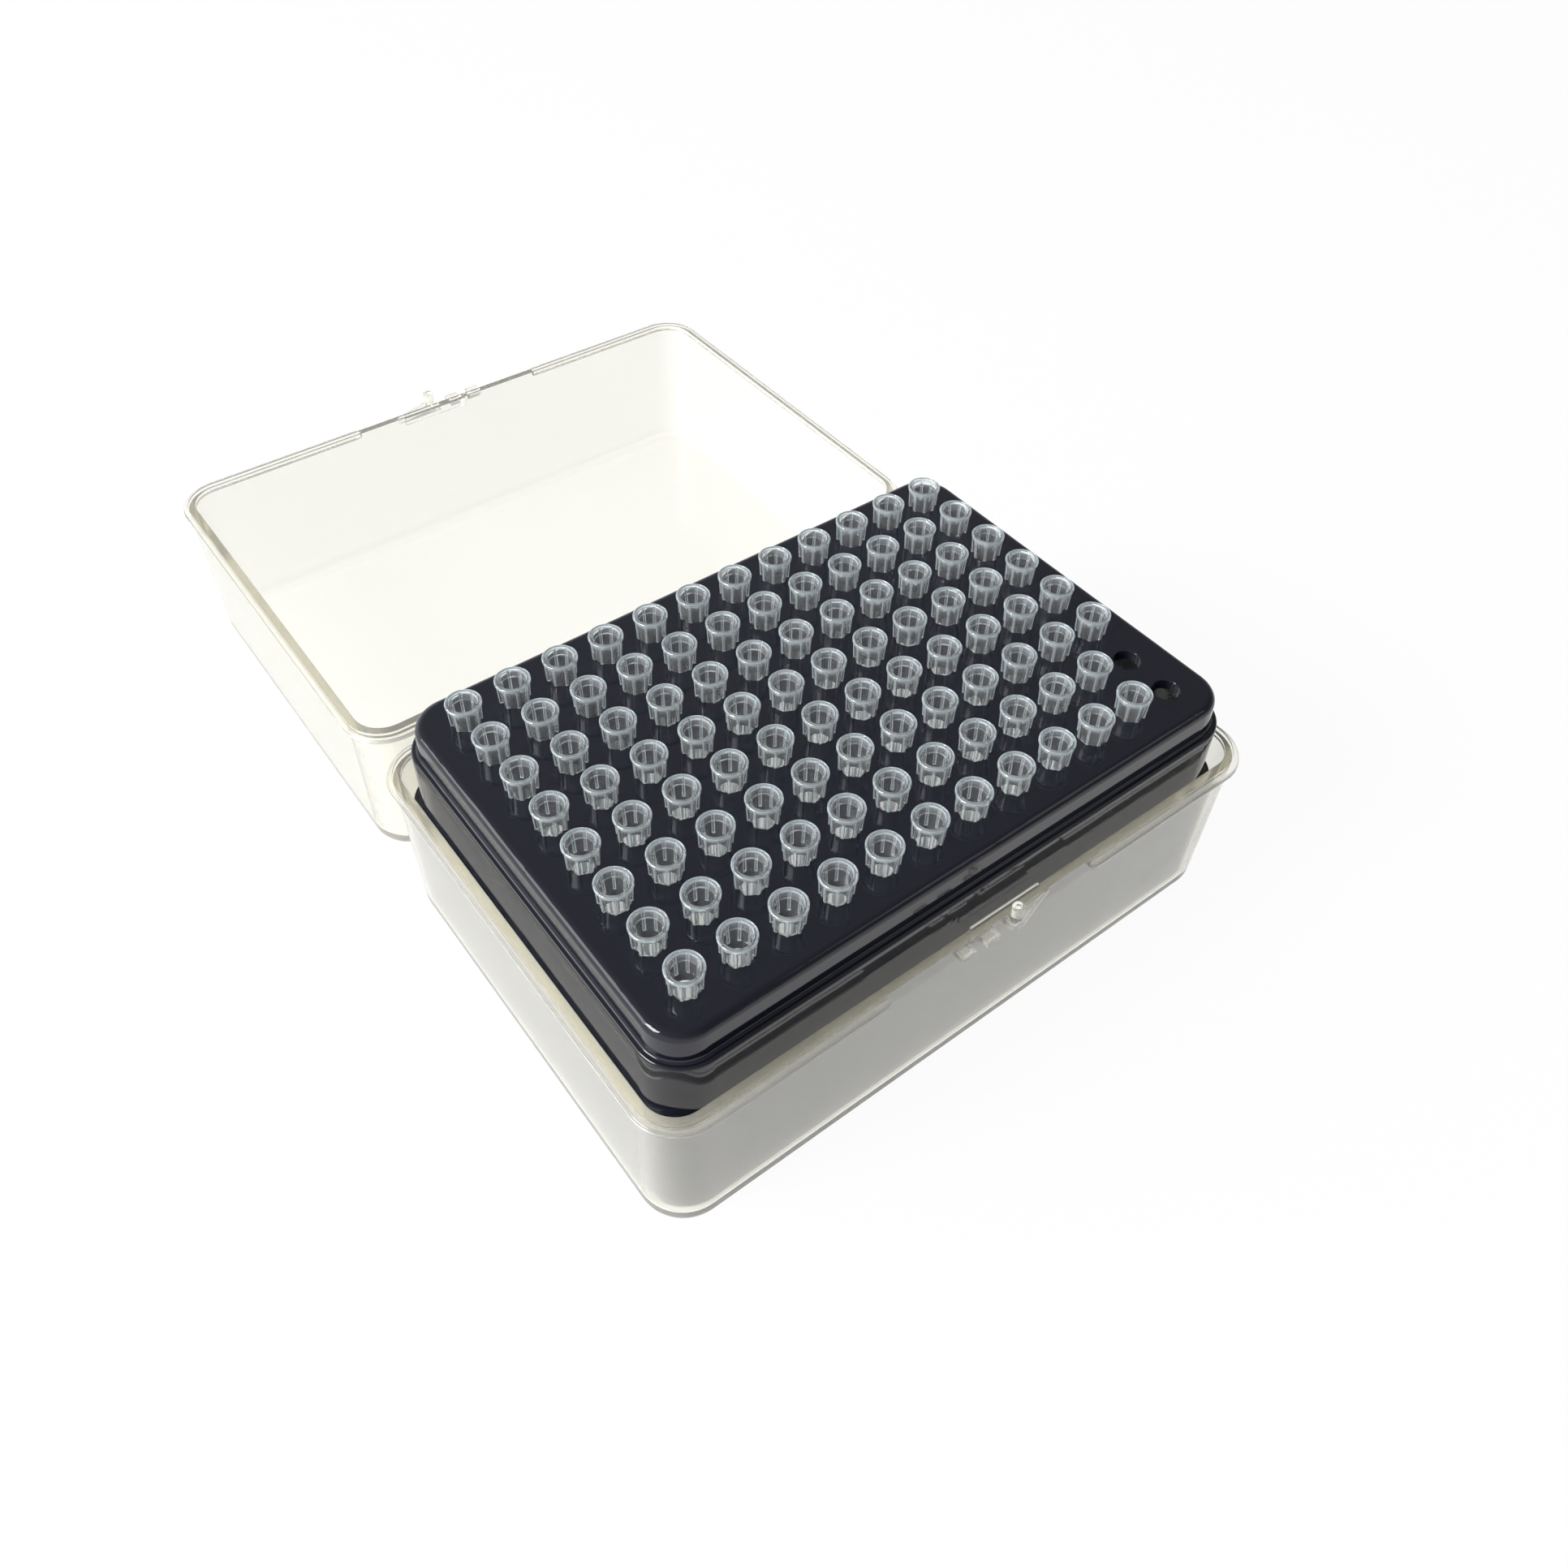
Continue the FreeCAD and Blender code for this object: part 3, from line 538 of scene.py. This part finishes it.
# ---------------------------------------------------------------- studio
@dataclass(frozen=True)
class Softbox:
    """One square soft lamp.

    Args:
        name: the lamp's name.
        place: its position in metres.
        size: its side in metres.
        power: its power in watts.
    """

    name: str
    place: tuple[float, float, float]
    size: float
    power: float


@dataclass
class Studio:
    """Pale floor, soft lamps and the camera.

    Args:
        camera_place: the camera's position in metres.
        camera_target: the point that it looks at.
        camera_roll: its tilt in degrees.
        focal_mm: its focal length.
        sensor_mm: its sensor's width.
        shift: its small shift sideways and up.
        nearest: nearest distance that it sees, in metres.
        floor_size: the floor's side in metres.
        floor_gap_mm: how far the floor lies under the box.
        paper_colour: the floor's paper.
        paper_glow: share of the paper that shows plain white instead of its shade.
        room_colour: the room's light.
        room_low: height in the room where its light begins to fade.
        room_high: height in the room where the fade is full.
        ceiling: what is left of the room's light at the top.
        side_reach: how far each way the change from dim to bright side goes.
        bright_side: direction of the room's bright side.
        bright_level: the room's light on that side.
        dim_level: the room's light on the other side.
        lamp_aim: the point that the lamps look at.
        softboxes: the lamps.
    """

    camera_place: tuple[float, float, float] = (-0.10811, -0.12541, 0.21305)
    camera_target: tuple[float, float, float] = (-0.00191, 0.00535, 0.045)
    camera_roll: float = 2.143
    focal_mm: float = 32.453
    sensor_mm: float = 36.0
    shift: tuple[float, float] = (-0.00694, -0.05899)
    nearest: float = 0.01
    floor_size: float = 6.0
    floor_gap_mm: float = 0.1
    paper_colour: str = "#fbfbfb"
    paper_glow: float = 0.94
    room_colour: str = "#f6f8fb"
    room_low: float = 0.05
    room_high: float = 0.6
    ceiling: float = 0.42
    side_reach: float = 0.8
    bright_side: tuple[float, float, float] = (-0.85, 0.5, 0.0)
    bright_level: float = 1.65
    dim_level: float = 0.35
    lamp_aim: tuple[float, float, float] = (0.0, 0.03, 0.02)
    softboxes: tuple[Softbox, ...] = (
        Softbox("key_softbox", (-1.05, 0.15, 0.75), 0.5, 15.0),
        Softbox("fill_softbox", (0.7, -0.7, 0.9), 0.5, 0.6),
        Softbox("rim_softbox", (-0.85, 0.52, 0.46), 0.5, 3.0),
    )

    def build(self) -> list[str]:
        """Build the floor, the light and the camera.

        Returns:
            Names of what was made.
        """
        floor = self.floor()
        self.world()
        for softbox in self.softboxes:
            self.lamp(softbox)
        camera = self.camera()
        bpy.context.scene.view_settings.view_transform = "Standard"
        return [floor.name, camera.name]

    def floor(self) -> bpy.types.Object:
        """Lay the white floor just under the box.

        Returns:
            The floor.
        """
        mesh = bpy.data.meshes.new("studio_floor")
        half = self.floor_size / 2
        corners = [(-half, -half, 0), (half, -half, 0), (half, half, 0), (-half, half, 0)]
        mesh.from_pydata(corners, [], [(0, 1, 2, 3)])
        floor = bpy.data.objects.new("studio_floor", mesh)
        floor.location.z = CAD_BOX[0].z - self.floor_gap_mm * MM
        bpy.context.scene.collection.objects.link(floor)
        material, tree = new_material("white_paper")
        rays = add_node(tree, "ShaderNodeLightPath")
        seen = add_node(tree, "ShaderNodeMath", {"operation": "MAXIMUM"}, {
            0: rays.outputs["Is Camera Ray"], 1: rays.outputs["Is Glossy Ray"],
        })
        shown = add_node(tree, "ShaderNodeMath", {"operation": "MAXIMUM"}, {
            0: seen.outputs[0], 1: rays.outputs["Is Transmission Ray"],
        })
        amount = add_node(tree, "ShaderNodeMath", {"operation": "MULTIPLY"}, {
            0: shown.outputs[0], 1: self.paper_glow,
        })
        paper = add_node(tree, "ShaderNodeBsdfDiffuse", inputs={"Color": linear(self.paper_colour)})
        glow = add_node(tree, "ShaderNodeEmission", inputs={"Color": linear(WHITE), "Strength": 1.0})
        mixed = add_node(tree, "ShaderNodeMixShader", inputs={
            0: amount.outputs[0], 1: paper.outputs[0], 2: glow.outputs[0],
        })
        close_material(tree, mixed.outputs[0])
        mesh.materials.append(material)
        return floor

    def world(self) -> None:
        """Light the room softly, white where the camera sees past the floor."""
        world = bpy.data.worlds.new("soft_room")
        bpy.context.scene.world = world
        world.use_nodes = True
        tree = world.node_tree
        tree.nodes.clear()
        place = add_node(tree, "ShaderNodeTexCoord").outputs["Generated"]
        height = add_node(tree, "ShaderNodeSeparateXYZ", inputs={0: place}).outputs["Z"]
        fade = add_node(tree, "ShaderNodeMapRange", inputs={
            "Value": height, "From Min": self.room_low, "From Max": self.room_high,
            "To Min": 1.0, "To Max": self.ceiling,
        })
        towards = add_node(tree, "ShaderNodeVectorMath", {"operation": "DOT_PRODUCT"}, {
            0: place, 1: self.bright_side,
        })
        side = add_node(tree, "ShaderNodeMapRange", inputs={
            "Value": towards.outputs["Value"], "From Min": -self.side_reach, "From Max": self.side_reach,
            "To Min": self.dim_level, "To Max": self.bright_level,
        })
        level = add_node(tree, "ShaderNodeMath", {"operation": "MULTIPLY"}, {
            0: fade.outputs["Result"], 1: side.outputs["Result"],
        })
        rays = add_node(tree, "ShaderNodeLightPath")
        room = add_node(tree, "ShaderNodeBackground", inputs={
            "Color": linear(self.room_colour), "Strength": level.outputs[0],
        })
        white = add_node(tree, "ShaderNodeBackground", inputs={"Color": linear(WHITE), "Strength": 1.0})
        mixed = add_node(tree, "ShaderNodeMixShader", inputs={
            0: rays.outputs["Is Camera Ray"], 1: room.outputs[0], 2: white.outputs[0],
        })
        add_node(tree, "ShaderNodeOutputWorld", inputs={"Surface": mixed.outputs[0]})

    def lamp(self, softbox: Softbox) -> None:
        """Hang one soft lamp aimed at the box.

        Args:
            softbox: the lamp's name, place, size and power.
        """
        light = bpy.data.lights.new(softbox.name, "AREA")
        light.size = softbox.size
        light.energy = softbox.power
        lamp = bpy.data.objects.new(softbox.name, light)
        bpy.context.scene.collection.objects.link(lamp)
        aim = Vector(self.lamp_aim) - Vector(softbox.place)
        lamp.rotation_euler = aim.to_track_quat("-Z", "Y").to_euler()
        lamp.location = softbox.place

    def camera(self) -> bpy.types.Object:
        """Set up the camera, high over the box's near left corner.

        Returns:
            The camera.
        """
        data = bpy.data.cameras.new("camera")
        data.lens = self.focal_mm
        data.sensor_width = self.sensor_mm
        data.shift_x, data.shift_y = self.shift
        data.clip_start = self.nearest
        camera = bpy.data.objects.new("camera", data)
        bpy.context.scene.collection.objects.link(camera)
        aim = Vector(self.camera_target) - Vector(self.camera_place)
        level = aim.to_track_quat("-Z", "Y").to_matrix().to_4x4()
        roll = Matrix.Rotation(math.radians(self.camera_roll), 4, "Z")
        camera.matrix_world = Matrix.Translation(Vector(self.camera_place)) @ level @ roll
        bpy.context.scene.camera = camera
        return camera


def main() -> None:
    """Build every sub-assembly in order and report each piece."""
    logging.basicConfig(level=logging.INFO, format="%(name)s: %(message)s")
    for part in (Studio(), Shell(), Rack(), Tips()):
        for name in part.build():
            log.info("%s: %s", type(part).__name__, name)


if __name__ == "__main__":
    main()
